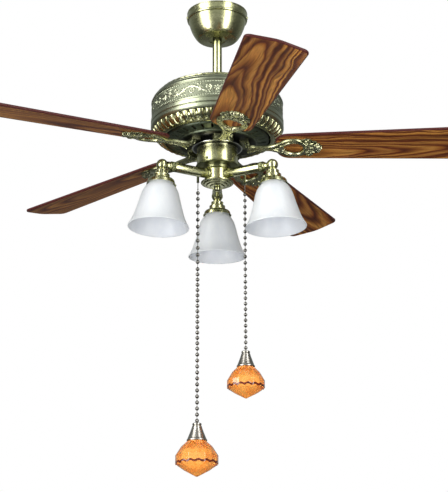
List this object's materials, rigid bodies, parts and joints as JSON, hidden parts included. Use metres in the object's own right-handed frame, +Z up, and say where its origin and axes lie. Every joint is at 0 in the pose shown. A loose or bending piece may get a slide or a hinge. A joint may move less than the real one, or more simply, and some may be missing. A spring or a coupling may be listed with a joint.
{
  "type": "ceiling fan with light",
  "caption": "Ceiling fan on a short downrod with wooden blades, a drum motor housing, bell-shade light kit and bead pull chains with faceted fobs.",
  "frame": {"origin": "centre of the ceiling bracket's top face, in the plane of the ceiling", "axes": "+Z up along the downrod, out of the ceiling face; -Y towards the side between the two front lights; +X to the right seen from there"},
  "size_m": [1.0251, 1.0324, 0.959],
  "materials": {
    "antique_brass": "antique brass plate, satin with a lacquer, darker in the recesses",
    "antique_brass_dark": "antique brass plate, dark, little rubbed",
    "dark_cast_metal": "dark green-bronze painted motor shell, satin",
    "zinc_steel": "zinc-plated pressed steel",
    "polished_steel": "bright turned steel",
    "lamination_steel": "stacked electrical steel laminations",
    "copper_winding": "enamelled copper wire",
    "black_rubber": "black rubber, matt",
    "black_nylon": "black moulded nylon, fine texture",
    "wire_pvc": "PVC-insulated wire",
    "walnut_blade": "walnut-grain veneer under satin lacquer, dark edges",
    "white_porcelain": "glazed white porcelain",
    "frosted_bulb": "inner-frosted bulb glass",
    "frosted_glass": "frosted alabaster-white glass, satin outside, smooth rim",
    "gunmetal": "dark bronze bead chain, rubbed highlights",
    "brushed_nickel": "brushed nickel",
    "amber_crystal": "faceted amber crystal, polished"
  },
  "bodies": {
    "ceiling_mount": {"ceiling_bracket": "zinc_steel", "canopy": "antique_brass", "canopy_screws": "antique_brass"},
    "seat": {"hanger_seat": "black_rubber"},
    "hung_frame": {"hanger_ball": "black_nylon", "rod_pins": "zinc_steel", "downrod": "antique_brass", "motor_yoke": "zinc_steel", "coupling_cover": "antique_brass", "stator_core": "lamination_steel", "stator_windings": "copper_winding", "motor_housing": "antique_brass", "gadroon_ring": "antique_brass", "housing_screws": "antique_brass", "switch_plate": "polished_steel", "switch_housing": "antique_brass", "light_kit_plate": "antique_brass_dark", "capacitor": "black_nylon", "pull_switches": "black_nylon", "reverse_switch": "black_nylon", "lead_wires": "wire_pvc", "fitter_hub": "antique_brass", "bottom_cap": "antique_brass", "light_arms": "antique_brass", "arm_collars": "antique_brass", "chain_guides": "antique_brass_dark"},
    "reverse_knob": {"reverse_slider": "black_nylon"},
    "rotor": {"rotor_upper": "dark_cast_metal", "rotor_lower": "dark_cast_metal", "bearings": "zinc_steel", "blade_irons": "antique_brass", "blade_screws": "antique_brass", "blade_1": "walnut_blade", "blade_2": "walnut_blade", "blade_3": "walnut_blade", "blade_4": "walnut_blade", "blade_5": "walnut_blade"},
    "light_left": {"elbow_left": "antique_brass", "shade_holder_left": "antique_brass", "lampholder_left": "white_porcelain", "bulb_left": "frosted_bulb", "glass_shade_left": "frosted_glass"},
    "light_right": {"elbow_right": "antique_brass", "shade_holder_right": "antique_brass", "lampholder_right": "white_porcelain", "bulb_right": "frosted_bulb", "glass_shade_right": "frosted_glass"},
    "light_back": {"elbow_back": "antique_brass", "shade_holder_back": "antique_brass", "lampholder_back": "white_porcelain", "bulb_back": "frosted_bulb", "glass_shade_back": "frosted_glass"},
    "left_leader": {"left_chain_leader": "gunmetal"},
    "left_chain": {"left_bead_chain": "gunmetal", "left_fob_cap": "brushed_nickel", "left_crystal": "amber_crystal"},
    "right_leader": {"right_chain_leader": "gunmetal"},
    "right_chain": {"right_bead_chain": "gunmetal", "right_fob_cap": "brushed_nickel", "right_crystal": "amber_crystal"}
  },
  "joints": [
    {"name": "swing_about_x", "type": "hinge", "parent": "ceiling_mount", "child": "seat", "pos_m": [0, 0, -0.026], "axis": [1, 0, 0], "range_deg": [-7, 7]},
    {"name": "swing_about_y", "type": "hinge", "parent": "seat", "child": "hung_frame", "pos_m": [0, 0, -0.026], "axis": [0, 1, 0], "range_deg": [-7, 7]},
    {"name": "fan_spin", "type": "hinge", "parent": "hung_frame", "child": "rotor", "pos_m": [0, 0, -0.3], "axis": [0, 0, 1], "continuous": true},
    {"name": "reverse_slide", "type": "slide", "parent": "hung_frame", "child": "reverse_knob", "axis": [0, 0, 1], "range_m": [0, 0.006]},
    {"name": "swivel_light_left", "type": "hinge", "parent": "hung_frame", "child": "light_left", "pos_m": [-0.10782, -0.06225, -0.357], "axis": [-0.866, -0.5, 0], "range_deg": [-30, 30]},
    {"name": "swivel_light_right", "type": "hinge", "parent": "hung_frame", "child": "light_right", "pos_m": [0.10782, -0.06225, -0.357], "axis": [0.866, -0.5, 0], "range_deg": [-30, 30]},
    {"name": "swivel_light_back", "type": "hinge", "parent": "hung_frame", "child": "light_back", "pos_m": [0, 0.1245, -0.357], "axis": [0, 1, 0], "range_deg": [-30, 30]},
    {"name": "left_pull", "type": "slide", "parent": "hung_frame", "child": "left_leader", "axis": [0, 0, -1], "range_m": [0, 0.008], "stiffness_N_per_m": 1500, "springref_m": -0.012},
    {"name": "left_sway", "type": "hinge", "parent": "left_leader", "child": "left_chain", "pos_m": [-0.0386, 0.008, -0.385], "axis": [1, 0, 0], "range_deg": [-18, 18]},
    {"name": "right_pull", "type": "slide", "parent": "hung_frame", "child": "right_leader", "axis": [0, 0, -1], "range_m": [0, 0.008], "stiffness_N_per_m": 1500, "springref_m": -0.012},
    {"name": "right_sway", "type": "hinge", "parent": "right_leader", "child": "right_chain", "pos_m": [0.0553, 0.014, -0.386], "axis": [1, 0, 0], "range_deg": [-18, 18]}
  ]
}
